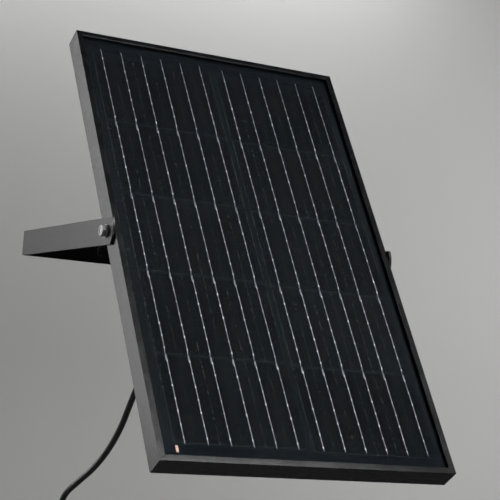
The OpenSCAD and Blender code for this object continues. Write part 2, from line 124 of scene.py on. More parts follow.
def make_camera():
    """The camera at the photograph's viewing angle, with its up direction squared to its aim."""
    data = bpy.data.cameras.new("camera")
    data.lens = LENS
    data.sensor_width = SENSOR
    camera = bpy.data.objects.new("camera", data)
    bpy.context.scene.collection.objects.link(camera)
    back = -CAMERA_FORWARD.normalized()
    right = CAMERA_UP.cross(back).normalized()
    up = back.cross(right)
    turn = Matrix((right, up, back)).transposed().to_4x4()
    camera.matrix_world = Matrix.Translation(CAMERA_AT_M) @ turn
    bpy.context.scene.camera = camera


# ------------------------------------------------------------------ shapes

def smooth_curve(points, steps):
    """A smooth curve through the points, with that many steps between each two."""
    p = [Vector(q) for q in points]
    last = len(p) - 1
    curve = []
    for i in range(last):
        a, b, c, d = p[max(i - 1, 0)], p[i], p[i + 1], p[min(i + 2, last)]
        for k in range(steps):
            t = k / steps
            curve.append(0.5 * (
                2 * b + (c - a) * t + (2 * a - 5 * b + 4 * c - d) * t * t
                + (3 * b - a - 3 * c + d) * t * t * t
            ))
    return curve + [p[last]]


def new_piece(name, points, faces, material, smooth=True):
    """A mesh object from points in the row frame, in metres."""
    mesh = bpy.data.meshes.new(name)
    mesh.from_pydata([tuple(p) for p in points], [], faces)
    mesh.validate()
    mesh.polygons.foreach_set("use_smooth", [smooth] * len(mesh.polygons))
    mesh.materials.append(material)
    piece = bpy.data.objects.new(name, mesh)
    bpy.context.scene.collection.objects.link(piece)
    return piece


def swept_tube(path, radius, sides):
    """Points and faces of a closed tube along the path, with frames that don't twist."""
    count = len(path)
    points, faces = [], []
    along = (path[1] - path[0]).normalized()
    across = along.orthogonal().normalized()
    for i, at in enumerate(path):
        along = (path[min(i + 1, count - 1)] - path[max(i - 1, 0)]).normalized()
        across = (across - along * across.dot(along)).normalized()
        third = along.cross(across)
        for j in range(sides):
            turn = 2 * math.pi * j / sides
            points.append(at + radius * (math.cos(turn) * across + math.sin(turn) * third))
    for i in range(count - 1):
        for j in range(sides):
            k = (j + 1) % sides
            faces.append((i * sides + j, i * sides + k, (i + 1) * sides + k, (i + 1) * sides + j))
    faces.append(tuple(reversed(range(sides))))
    faces.append(tuple(range((count - 1) * sides, count * sides)))
    return points, faces


def lathe(profile, sides, place):
    """Points and faces of a profile of (radius, height) turned round Z and put in place."""
    points, faces = [], []
    for radius, height in profile:
        for j in range(sides):
            turn = 2 * math.pi * j / sides
            points.append(place @ Vector((radius * math.cos(turn), radius * math.sin(turn), height)))
    for i in range(len(profile) - 1):
        for j in range(sides):
            k = (j + 1) % sides
            faces.append((i * sides + j, i * sides + k, (i + 1) * sides + k, (i + 1) * sides + j))
    faces.append(tuple(reversed(range(sides))))
    faces.append(tuple(range((len(profile) - 1) * sides, len(profile) * sides)))
    return points, faces


class Build:
    """Points and faces gathered from several shapes for one piece."""

    def __init__(self):
        self.points, self.faces = [], []

    def add(self, points, faces):
        start = len(self.points)
        self.points += points
        self.faces += [tuple(start + k for k in face) for face in faces]


def soften(obj, width, limit=34):
    """Joins a CAD node's split corners, rounds its sharp edges and evens its shading."""
    obj.data.polygons.foreach_set("use_smooth", [True] * len(obj.data.polygons))
    weld = obj.modifiers.new("weld", "WELD")
    weld.merge_threshold = 1e-6
    merge = obj.modifiers.new("merge_flat_faces", "DECIMATE")
    merge.decimate_type = "DISSOLVE"
    merge.angle_limit = math.radians(1)
    bevel = obj.modifiers.new("rounded_edges", "BEVEL")
    bevel.width = width * MM
    bevel.segments = 3
    bevel.limit_method = "ANGLE"
    bevel.angle_limit = math.radians(limit)
    bevel.use_clamp_overlap = True
    even = obj.modifiers.new("even_shading", "WEIGHTED_NORMAL")
    even.weight = 80
    even.keep_sharp = False


# ------------------------------------------------------------------ materials

class Look:
    """A material under construction: short calls that add and link its nodes."""

    def __init__(self, name, slot_colour):
        self.material = bpy.data.materials.new(name)
        self.material.use_nodes = True
        self.material.diffuse_color = (*slot_colour, 1)
        self.tree = self.material.node_tree
        self.shader = self.tree.nodes["Principled BSDF"]
        self.output = self.tree.nodes["Material Output"]

    def put(self, value, socket):
        """Sets a socket to a value, or links an output to it."""
        if isinstance(value, bpy.types.NodeSocket):
            self.tree.links.new(value, socket)
        else:
            socket.default_value = value

    def node(self, kind, inputs=None, **settings):
        made = self.tree.nodes.new("ShaderNode" + kind)
        for name, value in settings.items():
            setattr(made, name, value)
        for name, value in (inputs or {}).items():
            self.put(value, made.inputs[name])
        return made

    def main(self, **inputs):
        """Sets the main shader's sockets, by their names with _ for a space."""
        for name, value in inputs.items():
            self.put(value, self.shader.inputs[name.replace("_", " ")])

    def math(self, operation, a, b=0.0):
        return self.node("Math", {0: a, 1: b}, operation=operation).outputs[0]

    def row(self):
        """Places on the piece in the row frame, in millimetres."""
        at = self.node("TexCoord").outputs["Object"]
        return self.node("VectorMath", {0: at, 3: 1 / MM}, operation="SCALE").outputs[0]

    def panel(self):
        """Places on the piece along the panel's own directions, in millimetres."""
        at = self.node("TexCoord").outputs["Object"]
        back_turn = Matrix.Rotation(TILT, 3, "X")
        offset = -(back_turn @ PIVOT_M) / MM
        mapping = self.node("Mapping", {
            "Vector": at, "Location": offset, "Rotation": (TILT, 0, 0), "Scale": (1 / MM,) * 3,
        })
        return mapping.outputs[0]

    def stretched(self, vector, scale):
        return self.node("VectorMath", {0: vector, 1: scale}, operation="MULTIPLY").outputs[0]

    def noise(self, vector, scale, detail, roughness):
        """A cloudy value near 0.5, with scale in features to the millimetre."""
        return self.node("TexNoise", {
            "Vector": vector, "Scale": scale, "Detail": detail, "Roughness": roughness,
        }).outputs["Fac"]

    def pores(self, vector, scale):
        """The distance from the nearest of many scattered points."""
        return self.node("TexVoronoi", {"Vector": vector, "Scale": scale}).outputs["Distance"]

    def ramp(self, factor, low, high, start=0.0, end=1.0):
        """Maps factor from low..high to start..end, held at both ends."""
        return self.node("MapRange", {
            "Value": factor, "From Min": low, "From Max": high, "To Min": start, "To Max": end,
        }).outputs[0]

    def blend(self, factor, a, b):
        """A colour from a to b by factor."""
        mix = self.node("Mix", data_type="RGBA")
        self.put(factor, mix.inputs[0])
        for value, socket in ((a, mix.inputs[6]), (b, mix.inputs[7])):
            self.put(value if isinstance(value, bpy.types.NodeSocket) else (*value, 1), socket)
        return mix.outputs[2]

    def bump(self, height, strength, distance):
        """A normal that tells of a height, in millimetres of distance."""
        inputs = {"Height": height, "Strength": strength, "Distance": distance * MM}
        return self.node("Bump", inputs).outputs[0]

    def edges(self, radius, samples=6):
        """Near 1 along sharp edges within that many millimetres, and 0 elsewhere."""
        rounded = self.node("Bevel", {"Radius": radius * MM}, samples=samples).outputs[0]
        true = self.node("NewGeometry").outputs["Normal"]
        same = self.node("VectorMath", {0: rounded, 1: true}, operation="DOT_PRODUCT").outputs["Value"]
        return self.ramp(same, 0.995, 0.9, 0, 1)

    def apart(self, vector):
        """The X, Y and Z outputs of a vector."""
        return self.node("SeparateXYZ", {0: vector}).outputs


def anodised_frame(name, along):
    """Black anodised aluminium with fine extrusion lines along X or Z of the panel."""
    look = Look(name, (0.05, 0.05, 0.055))
    at = look.panel()
    stretch = (0.012, 1.0, 1.0) if along == "x" else (1.0, 1.0, 0.012)
    lines = look.noise(look.stretched(at, stretch), 2.6, 5, 0.65)
    cloud = look.noise(at, 0.035, 3, 0.55)
    speck = look.noise(at, 3.5, 2, 0.5)
    wear = look.edges(0.5)
    worn = look.math("MULTIPLY", wear, look.ramp(look.noise(at, 0.25, 4, 0.6), 0.42, 0.62))
    tone = look.blend(look.ramp(lines, 0.3, 0.7), (0.0020, 0.0022, 0.0027), (0.0040, 0.0042, 0.0050))
    tone = look.blend(look.math("MULTIPLY", worn, 0.5), tone, (0.10, 0.10, 0.105))
    rough = look.ramp(lines, 0.25, 0.75, 0.23, 0.30)
    rough = look.math("ADD", rough, look.ramp(cloud, 0.3, 0.7, -0.03, 0.04))
    height = look.math("ADD", look.math("MULTIPLY", lines, 0.8), look.math("MULTIPLY", speck, 0.2))
    look.main(Base_Color=tone, Roughness=rough, Specular_IOR_Level=0.4)
    look.main(Normal=look.bump(height, 0.3 if along == "z" else 0.18, 0.04))
    return look.material


def powder_coat():
    """Satin black coat on the steel strip, with a fine orange peel and rubbed edges."""
    look = Look("bracket_coat", (0.045, 0.045, 0.05))
    at = look.row()
    peel = look.noise(at, 1.1, 3, 0.5)
    grain = look.noise(look.stretched(at, (1, 0.06, 1)), 1.7, 4, 0.6)
    cloud = look.noise(at, 0.05, 3, 0.5)
    wear = look.math("MULTIPLY", look.edges(0.45), look.ramp(look.noise(at, 0.4, 4, 0.6), 0.4, 0.6))
    tone = look.blend(look.ramp(cloud, 0.3, 0.7), (0.0080, 0.0080, 0.0090), (0.0125, 0.0125, 0.0135))
    tone = look.blend(look.math("MULTIPLY", wear, 0.6), tone, (0.16, 0.16, 0.165))
    rough = look.ramp(grain, 0.3, 0.7, 0.30, 0.38)
    rough = look.math("ADD", rough, look.ramp(peel, 0.3, 0.7, -0.02, 0.03))
    look.main(Base_Color=tone, Roughness=rough, Specular_IOR_Level=0.25)
    look.main(Normal=look.bump(look.math("ADD", peel, grain), 0.25, 0.05))
    return look.material


def plated_metal(name, colour, roughness, dark):
    """Zinc or nickel plate: clouded, faintly brushed, darker in its dull patches."""
    look = Look(name, colour)
    at = look.row()
    cloud = look.noise(at, 0.35, 4, 0.6)
    brushed = look.noise(look.stretched(at, (6, 1, 0.5)), 2.2, 4, 0.6)
    tone = look.blend(look.ramp(cloud, 0.35, 0.7), colour, dark)
    rough = look.ramp(cloud, 0.3, 0.7, roughness, roughness + 0.12)
    look.main(Base_Color=tone, Metallic=0.7, Roughness=rough)
    look.main(Normal=look.bump(brushed, 0.2, 0.03))
    return look.material


def dark_screw_steel():
    """Black zinc on the wall screws, rubbed to metal round the recess."""
    look = Look("dark_screw_steel", (0.02, 0.02, 0.022))
    at = look.row()
    cloud = look.noise(at, 0.6, 4, 0.6)
    rubbed = look.math("MULTIPLY", look.edges(0.4), look.ramp(look.noise(at, 1.2, 3, 0.6), 0.45, 0.6))
    tone = look.blend(look.ramp(cloud, 0.3, 0.7), (0.035, 0.034, 0.034), (0.06, 0.058, 0.056))
    tone = look.blend(rubbed, tone, (0.45, 0.45, 0.46))
    look.main(Base_Color=tone, Metallic=0.85, Roughness=look.ramp(cloud, 0.3, 0.7, 0.26, 0.42))
    look.main(Normal=look.bump(cloud, 0.25, 0.05))
    return look.material


def moulded_plastic(name, colour, roughness, spark=2.4, depth=0.05):
    """Spark-eroded moulding texture on dark nylon or ABS."""
    look = Look(name, colour)
    at = look.row()
    fine = look.noise(at, spark, 3, 0.6)
    cloud = look.noise(at, 0.06, 3, 0.5)
    darker = tuple(c * 0.72 for c in colour)
    lighter = tuple(c * 1.35 + 0.004 for c in colour)
    scuffs = look.math("MULTIPLY", look.edges(0.4, 4), look.ramp(look.noise(at, 0.5, 3, 0.6), 0.45, 0.65))
    tone = look.blend(look.ramp(cloud, 0.3, 0.7), darker, lighter)
    tone = look.blend(look.math("MULTIPLY", scuffs, 0.35), tone, (0.13, 0.13, 0.13))
    rough = look.ramp(fine, 0.3, 0.7, roughness - 0.05, roughness + 0.08)
    look.main(Base_Color=tone, Roughness=rough, Specular_IOR_Level=0.45)
    look.main(Normal=look.bump(fine, 0.4, depth))
    return look.material


def rubber(name, colour, roughness):
    """Matte rubber or foam with small pores and dust in them."""
    look = Look(name, colour)
    at = look.row()
    pores = look.pores(at, 1.6)
    dust = look.ramp(look.noise(at, 0.22, 4, 0.65), 0.5, 0.75)
    tone = look.blend(look.math("MULTIPLY", dust, 0.3), colour, tuple(c + 0.05 for c in colour))
    look.main(Base_Color=tone, Roughness=look.ramp(pores, 0.1, 0.6, roughness + 0.08, roughness))
    look.main(Normal=look.bump(pores, 0.3, 0.05))
    return look.material


def cable_jacket():
    """Satin black jacket: faint drawn lines, a little dust and small scuffs."""
    look = Look("cable_jacket_look", (0.018, 0.018, 0.019))
    at = look.row()
    soft = look.noise(at, 0.8, 3, 0.5)
    scuff = look.ramp(look.noise(at, 0.13, 5, 0.7), 0.56, 0.72)
    tone = look.blend(look.math("MULTIPLY", scuff, 0.35), (0.012, 0.012, 0.0125), (0.045, 0.045, 0.044))
    rough = look.math("ADD", look.ramp(soft, 0.3, 0.7, 0.34, 0.42), look.math("MULTIPLY", scuff, 0.15))
    look.main(Base_Color=tone, Roughness=rough, Specular_IOR_Level=0.5)
    look.main(Normal=look.bump(soft, 0.25, 0.06))
    return look.material


def silicon_cells():
    """Near-black silicon: fingers, dotted pad lines between the ribbons, and cell-to-cell tone."""
    look = Look("silicon_cells", (0.012, 0.014, 0.02))
    at = look.panel()
    x, _, z = (look.apart(at)[k] for k in ("X", "Y", "Z"))
    side = look.math("GREATER_THAN", x, 1.0)
    centre = look.ramp(side, 0, 1, COLUMN_X[0], COLUMN_X[1])
    drop = look.ramp(side, 0, 1, COLUMN_DROP[0], COLUMN_DROP[1])
    shift = look.ramp(side, 0, 1, RIBBON_SHIFT[0], RIBBON_SHIFT[1])
    lean = look.ramp(side, 0, 1, RIBBON_LEAN[0], RIBBON_LEAN[1])
    leaning = look.math("SUBTRACT", shift, look.math("MULTIPLY", z, lean))
    in_x = look.math("SUBTRACT", look.math("SUBTRACT", x, centre), leaning)
    up = look.math("SUBTRACT", look.math("SUBTRACT", z, drop), CELLS_BOTTOM)
    row = look.math("FLOOR", look.math("DIVIDE", up, ROW_PITCH))
    in_z = look.math("SUBTRACT", up, look.math("MULTIPLY", row, ROW_PITCH))
    off_centre = look.math("ABSOLUTE", in_x)
    edge_x, edge_z = CELL_W / 2, CELL_H / 2
    # Dotted lines: midway between ribbons, and just inside the outer edges.
    lane = look.math("PINGPONG", off_centre, RIBBON_PITCH / 2)
    inside = look.ramp(off_centre, edge_x - 4, edge_x - 3, 1, 0)
    inner = look.math("MULTIPLY", look.ramp(lane, 0.22, 0.5, 1, 0), inside)
    outer_off = look.math("ABSOLUTE", look.math("SUBTRACT", off_centre, edge_x - 1.1))
    outer = look.ramp(outer_off, 0.2, 0.5, 1, 0)
    dash = look.noise(look.stretched(at, (0.6, 0, 1)), 0.62, 3, 0.6)
    dots = look.math("MULTIPLY", inner, look.ramp(dash, 0.53, 0.64))
    outer_dots = look.math("MULTIPLY", outer, look.ramp(dash, 0.47, 0.62, 0, 0.7))
    dots = look.math("MAXIMUM", dots, outer_dots)
    # Fingers across the cell.
    finger_pitch = 1.35
    wave = look.math("SINE", look.math("MULTIPLY", z, 2 * math.pi / finger_pitch))
    fingers = look.ramp(wave, 0.55, 1.0)
    # Edges of each cell, where the silicon is bare and bluish.
    rim_x = look.ramp(off_centre, edge_x - 1.0, edge_x - 0.3)
    from_mid = look.math("ABSOLUTE", look.math("SUBTRACT", in_z, edge_z))
    rim_z = look.ramp(from_mid, edge_z - 0.9, edge_z - 0.3)
    rim = look.math("MAXIMUM", rim_x, look.math("MULTIPLY", rim_z, 2.6))
    # Tone of each cell, slow clouds, and streaks that gather towards the rows' edges.
    seed = look.math("ADD", look.math("MULTIPLY", row, 3.7), look.math("MULTIPLY", side, 11.3))
    own = look.node("TexWhiteNoise", {"W": seed}, noise_dimensions="1D").outputs["Value"]
    cloud = look.noise(look.stretched(at, (1, 0, 0.7)), 0.03, 3, 0.6)
    fine = look.noise(look.stretched(at, (0.2, 0, 1)), 0.95, 4, 0.7)
    streaks = look.math("MULTIPLY", look.ramp(fine, 0.56, 0.74), look.ramp(from_mid, 18, 34, 0.3, 1))
    tone = look.blend(own, (0.0012, 0.0014, 0.0018), (0.0034, 0.0037, 0.0043))
    tone = look.blend(look.ramp(cloud, 0.35, 0.7, 0, 0.6), tone, (0.0020, 0.0029, 0.0048))
    tone = look.blend(look.math("MULTIPLY", streaks, 0.85), tone, (0.034, 0.034, 0.035))
    tone = look.blend(look.math("MULTIPLY", fingers, 0.08), tone, (0.015, 0.0155, 0.017))
    tone = look.blend(look.math("MULTIPLY", rim, 0.3), tone, (0.010, 0.016, 0.019))
    tone = look.blend(look.math("MULTIPLY", dots, 0.85), tone, (0.11, 0.115, 0.12))
    look.main(Base_Color=tone, Roughness=look.ramp(fine, 0.3, 0.7, 0.5, 0.65), Specular_IOR_Level=0.015)
    look.main(Normal=look.bump(look.math("ADD", fine, fingers), 0.2, 0.03))
    return look.material


def tinned_ribbon(name, dark, light, metallic):
    """Tin over copper, uneven from the soldering."""
    look = Look(name, light)
    at = look.panel()
    blots = look.noise(look.stretched(at, (1, 1, 0.35)), 1.4, 3, 0.6)
    tone = look.blend(look.ramp(blots, 0.3, 0.7), dark, light)
    look.main(Base_Color=tone, Metallic=metallic, Roughness=look.ramp(blots, 0.3, 0.7, 0.32, 0.5))
    look.main(Normal=look.bump(blots, 0.4, 0.05))
    return look.material


def bare_copper(name, colour, dull):
    """Bare copper strip, dull in patches."""
    look = Look(name, colour)
    at = look.panel()
    blots = look.noise(at, 0.9, 3, 0.6)
    tone = look.blend(look.ramp(blots, 0.35, 0.7), colour, dull)
    look.main(Base_Color=tone, Metallic=0.25, Roughness=look.ramp(blots, 0.3, 0.7, 0.35, 0.5))
    look.main(Normal=look.bump(blots, 0.3, 0.04))
    return look.material


def black_film(name, colour, roughness):
    """Black laminate film: a fine embossed weave and slow clouds."""
    look = Look(name, colour)
    at = look.panel()
    weave = look.noise(at, 1.9, 2, 0.5)
    cloud = look.noise(at, 0.02, 4, 0.6)
    bluish = tuple(c * k for c, k in zip(colour, (0.8, 1.15, 1.3)))
    tone = look.blend(look.ramp(cloud, 0.35, 0.7), colour, bluish)
    look.main(Base_Color=tone, Roughness=look.ramp(weave, 0.3, 0.7, roughness, roughness + 0.12))
    look.main(Specular_IOR_Level=0.015, Normal=look.bump(weave, 0.3, 0.04))
    return look.material


def see_through(look, glass_share):
    """Lets lamps shine through, by mixing in a clear shader for shadow rays."""
    clear = look.node("BsdfTransparent").outputs[0]
    shadow = look.node("LightPath").outputs["Is Shadow Ray"]
    mix = look.node("MixShader", {0: shadow})
    look.put(glass_share, mix.inputs[1])
    look.put(clear, mix.inputs[2])
    look.put(mix.outputs[0], look.output.inputs["Surface"])


def tempered_glass():
    """Low-reflection solar glass with a very faint rolled texture and dust."""
    look = Look("tempered_glass", (0.80, 0.84, 0.86))
    at = look.panel()
    rolled = look.noise(at, 0.35, 2, 0.5)
    smears = look.noise(look.stretched(at, (1, 1, 0.3)), 0.02, 4, 0.6)
    look.main(Base_Color=(0.93, 0.96, 0.97, 1), Transmission_Weight=1.0, IOR=1.2)
    look.main(Roughness=look.ramp(smears, 0.35, 0.75, 0.0, 0.045))
    look.main(Normal=look.bump(rolled, 0.05, 0.02))
    see_through(look, look.shader.outputs[0])
    return look.material


def clear_film():
    """Clear laminating film, almost unseen, with a trace of haze."""
    look = Look("clear_film", (0.75, 0.78, 0.80))
    at = look.panel()
    haze = look.ramp(look.noise(at, 0.04, 4, 0.6), 0.3, 0.8, 0.004, 0.012)
    look.main(Base_Color=(0.12, 0.135, 0.15, 1), Roughness=0.6, Specular_IOR_Level=0.0)
    clear = look.node("BsdfTransparent").outputs[0]
    mix = look.node("MixShader", {0: haze, 1: clear})
    look.put(look.shader.outputs[0], mix.inputs[2])
    look.put(mix.outputs[0], look.output.inputs["Surface"])
    return look.material


def silicone():
    """The pale, lumpy bead that holds the junction box on."""
    look = Look("silicone_bead", (0.78, 0.78, 0.74))
    at = look.panel()
    lumps = look.noise(at, 0.3, 3, 0.5)
    tone = look.blend(look.ramp(lumps, 0.3, 0.7), (0.70, 0.70, 0.66), (0.80, 0.80, 0.77))
    look.main(Base_Color=tone, Roughness=look.ramp(lumps, 0.3, 0.7, 0.35, 0.5), Subsurface_Weight=0.1)
    look.main(Normal=look.bump(lumps, 0.4, 0.2))
    return look.material


def mill_aluminium():
    """Bare drawn aluminium, with lines that run up the panel."""
    look = Look("mill_aluminium", (0.72, 0.72, 0.73))
    at = look.panel()
    drawn = look.noise(look.stretched(at, (1, 1, 0.1)), 2.0, 4, 0.6)
    tone = look.blend(look.ramp(drawn, 0.3, 0.7), (0.62, 0.62, 0.63), (0.76, 0.76, 0.77))
    look.main(Base_Color=tone, Metallic=1.0, Roughness=look.ramp(drawn, 0.3, 0.7, 0.28, 0.42))
    look.main(Normal=look.bump(drawn, 0.3, 0.04))
    return look.material


def studio_paint(name, colour, shade, spread):
    """Matt paint of the floor and backdrop with a slow change of tone; the floor is painted dark in glossy
    reflections, and far from the lamps the paint glows faintly to the camera.
    """
    look = Look(name, colour)
    at = look.node("TexCoord").outputs["Object"]
    cloud = look.noise(at, spread, 2, 0.4)
    tone = look.blend(look.ramp(cloud, 0.3, 0.7), colour, shade)
    x, y, z = (look.apart(at)[k] for k in ("X", "Y", "Z"))
    ray = look.node("LightPath").outputs
    # Painted shade: the floor, fading out up the curve into the backdrop, is painted near-black for glossy
    # rays only, so shiny faces mirror a dark floor.
    low = look.math("MULTIPLY", look.ramp(z, -1.1, -0.7, 0.8, 0), ray["Is Glossy Ray"])
    tone_with_reflected_shade = look.blend(low, tone, (0.03, 0.03, 0.03))
    look.main(Base_Color=tone_with_reflected_shade, Roughness=0.9, Specular_IOR_Level=0.1)
    # Far from the lamps the paint glows faintly to the camera, so that it stays pale there.
    glow = 0.42
    in_front = look.ramp(y, 0.5, -4, 0, glow)
    at_sides = look.ramp(look.math("ABSOLUTE", x), 4, 9, 0, glow)
    far = look.math("MAXIMUM", in_front, at_sides)
    look.main(Emission_Color=tone, Emission_Strength=look.math("MULTIPLY", far, ray["Is Camera Ray"]))
    return look.material


# ------------------------------------------------------------------ cable and what is on it

def coil_turns():
    """The cable's line round the coil: six flat discs, wound inwards and outwards by turns.

    Each change of radius or of disc has its own stretch of the turn, in an order that lets
    neighbouring turns pass without touching.
    """
    steps = 44
    changes = 2 * COIL_DISCS - 1
    window = 1 / changes
    turns = COIL_DISCS * COIL_LAYERS

    def radius_at(n):
        disc, place = divmod(n, COIL_LAYERS)
        layer = COIL_LAYERS - 1 - place if disc % 2 == 0 else place
        return COIL_R + (layer - (COIL_LAYERS - 1) / 2) * CABLE_D

    def depth_at(n):
        return (COIL_DISCS - 1) / 2 * CABLE_D - (n // COIL_LAYERS) * CABLE_D

    points = []
    for n in range(turns):
        disc, place = divmod(n, COIL_LAYERS)
        to_next_disc = place == COIL_LAYERS - 1
        order = changes - 1 - 2 * disc - (1 if to_next_disc else 0)
        last = n == turns - 1
        for k in range(steps):
            share = k / steps
            t = min(max((share - order * window) / window, 0), 1)
            ease = 0 if last else t * t * (3 - 2 * t)
            radius = radius_at(n) + (radius_at(n + 1) - radius_at(n)) * ease
            depth = depth_at(n) + (depth_at(n + 1) - depth_at(n)) * ease
            turn = math.pi + 2 * math.pi * share
            points.append(COIL_AT + Vector((radius * math.cos(turn), depth, radius * math.sin(turn))))
    return points


def cable_line():
    """The cable's whole centreline in metres, from inside the boot to inside the plug's grip."""
    in_boot = [on_panel(BOX_X, GLAND_Y, BOOT_END_Z + up) / MM for up in (22, 14, 7)]
    boot_end = on_panel(BOX_X, GLAND_Y, BOOT_END_Z) / MM
    straight = on_panel(BOX_X, GLAND_Y, BOOT_END_Z - 9) / MM
    lead = smooth_curve([boot_end, straight, *LEAD_ROUTE], 7)
    tail = smooth_curve([*TAIL_ROUTE, PLUG_AT + Vector((0, 0, -8))], 5)
    return [p * MM for p in in_boot + lead + coil_turns() + tail]


def make_cable(jacket):
    """One five-metre lead: free from the boot to the wall, then put away in a tied coil."""
    line = cable_line()
    points, faces = swept_tube(line, CABLE_R * MM, 14)
    cable = new_piece("cable", points, faces, jacket)
    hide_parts("cable_lead", "cable_coil", "cable_tail")
    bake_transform(cable)
    return cable, line


def plug_place():
    """The plug's own directions: its axis points down from the end of the cable."""
    return Matrix.Translation(PLUG_AT * MM) @ Matrix.Rotation(math.pi, 4, "X") @ Matrix.Scale(MM, 4)


def plug_grip(material):
    """Moulded grip: a tapered neck, a round body with four grooves and a rounded shoulder."""
    neck, groove, groove_gap = 12, 1.1, 3
    profile = [
        (0.01, 0), (2.8, 0), (3.05, 0.25), (3.4, 0.9), (4.2, neck), (5.0, neck + 1.5), (5.35, neck + 4),
    ]
    for k in range(4):
        low = neck + 5 + groove_gap * k
        high = low + groove
        profile += [(5.4, low - 0.2), (5.3, low), (5.02, low + 0.15), (5.02, high - 0.15), (5.3, high)]
    profile += [(5.4, high + 0.3), (5.4, GRIP_LEN - 3), (5.2, GRIP_LEN - 1.6), (4.6, GRIP_LEN - 0.3)]
    profile += [(4.2, GRIP_LEN), (2.76, GRIP_LEN), (2.74, GRIP_LEN - 0.5), (0.01, GRIP_LEN - 0.5)]
    points, faces = lathe(profile, 40, plug_place())
    piece = new_piece("plug_grip_moulding", points, faces, material)
    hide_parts("plug_grip")
    return piece


def plug_barrel(material):
    """The round contact sleeve, with a rolled lip and a bore."""
    end = GRIP_LEN + BARREL_LEN
    profile = [
        (2.2, GRIP_LEN - 1), (2.74, GRIP_LEN - 1), (2.75, GRIP_LEN), (2.75, GRIP_LEN + 1.2),
        (2.66, GRIP_LEN + 1.4), (2.66, GRIP_LEN + 1.8), (2.75, GRIP_LEN + 2), (2.75, end - 0.5),
        (2.68, end - 0.15), (2.5, end), (2.25, end), (2.12, end - 0.15), (2.1, end - 0.5),
        (2.1, GRIP_LEN - 0.9),
    ]
    points, faces = lathe(profile, 40, plug_place())
    piece = new_piece("plug_barrel_sleeve", points, faces[:-2], material)
    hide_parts("plug_barrel")
    return piece


def plug_insulator(material):
    """The black sleeve inside the barrel, bored for the socket's pin."""
    end = GRIP_LEN + BARREL_LEN - 0.4
    profile = [
        (0.01, GRIP_LEN - 0.4), (2.08, GRIP_LEN - 0.4), (2.08, end - 0.15), (1.95, end),
        (1.25, end), (1.05, end - 0.2), (1.05, GRIP_LEN + 0.3), (0.01, GRIP_LEN + 0.3),
    ]
    points, faces = lathe(profile, 32, plug_place())
    piece = new_piece("plug_insulator_sleeve", points, faces, material)
    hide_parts("plug_insulator")
    return piece


def strap_loop(build, centre, half_y, half_z, width, thickness):
    """A closed strap round a bundle, with round corners, in the plane square to X."""
    corner = 3.0
    outline = []
    for quarter in range(4):
        cy = (half_y - corner) * (1 if quarter in (0, 3) else -1)
        cz = (half_z - corner) * (1 if quarter in (0, 1) else -1)
        for k in range(7):
            turn = math.radians(90 * quarter + 15 * k)
            outline.append((cy, cz, math.cos(turn), math.sin(turn)))
    points, faces = [], []
    sides = ((-0.5, 0.0), (-0.5, 0.85), (-0.42, 1.0), (0.42, 1.0), (0.5, 0.85), (0.5, 0.0))
    for cy, cz, ny, nz in outline:
        for across, out in sides:
            reach = corner + out * thickness
            points.append(
                (centre + Vector((across * width, cy + ny * reach, cz + nz * reach))) * MM
            )
    count, n = len(outline), len(sides)
    for i in range(count):
        for j in range(n):
            a, b = i * n + j, i * n + (j + 1) % n
            c, d = ((i + 1) % count) * n + (j + 1) % n, ((i + 1) % count) * n + j
            faces.append((a, d, c, b))
    build.add(points, faces)


def rounded_bar(build, low, high, edge):
    """A box with chamfered edges, by its lowest and highest corners."""
    centre = (Vector(low) + Vector(high)) / 2
    half = (Vector(high) - Vector(low)) / 2
    rings = []
    for z, inset in ((-half.z, edge), (-half.z + edge, 0), (half.z - edge, 0), (half.z, edge)):
        hx, hy = half.x - inset, half.y - inset
        cut = edge
        rings.append([
            (hx, -hy + cut, z), (hx, hy - cut, z), (hx - cut, hy, z), (-hx + cut, hy, z),
            (-hx, hy - cut, z), (-hx, -hy + cut, z), (-hx + cut, -hy, z), (hx - cut, -hy, z),
        ])
    points = [(centre + Vector(p)) * MM for ring in rings for p in ring]
    faces = [tuple(reversed(range(8))), tuple(range(24, 32))]
    for i in range(3):
        for j in range(8):
            k = (j + 1) % 8
            faces.append((i * 8 + j, i * 8 + k, (i + 1) * 8 + k, (i + 1) * 8 + j))
    build.add(points, faces)


def make_ties(material):
    """Two nylon ties round the coil, each with its strap, locking head, pawl and toothed tail."""
    width, thickness, gap = 3.6, 1.0, 0.1
    half_y = COIL_DISCS * CABLE_D / 2 + gap
    half_z = COIL_LAYERS * CABLE_D / 2 + gap
    build = Build()
    for side in (-1, 1):
        centre = COIL_AT + Vector((0, 0, side * COIL_R))
        strap_loop(build, centre, half_y, half_z, width, thickness)
        front = centre.y - half_y - thickness
        x, z = centre.x, centre.z
        rounded_bar(build, (x - 2.8, front - 3.2, z - 2.5), (x + 2.8, front + 0.2, z - 0.75), 0.4)
        rounded_bar(build, (x - 2.8, front - 3.2, z + 0.75), (x + 2.8, front + 0.2, z + 2.5), 0.4)
        for edge in (-1, 1):
            low = x + edge * 2.35
            rounded_bar(build, (low - 0.45, front - 3.1, z - 0.9), (low + 0.45, front + 0.1, z + 0.9), 0.2)
        rounded_bar(build, (x - 1.8, front - 10.9, z - 0.55), (x + 1.8, front - 0.2, z + 0.35), 0.18)
        for tooth in range(9):
            at = front - 10.2 + tooth * 0.8
            rounded_bar(build, (x - 1.3, at, z + 0.25), (x + 1.3, at + 0.42, z + 0.55), 0.1)
    piece = new_piece("cable_tie_straps", build.points, build.faces, material, smooth=False)
    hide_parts("cable_ties")
    return piece


# ------------------------------------------------------------------ pieces of the panel

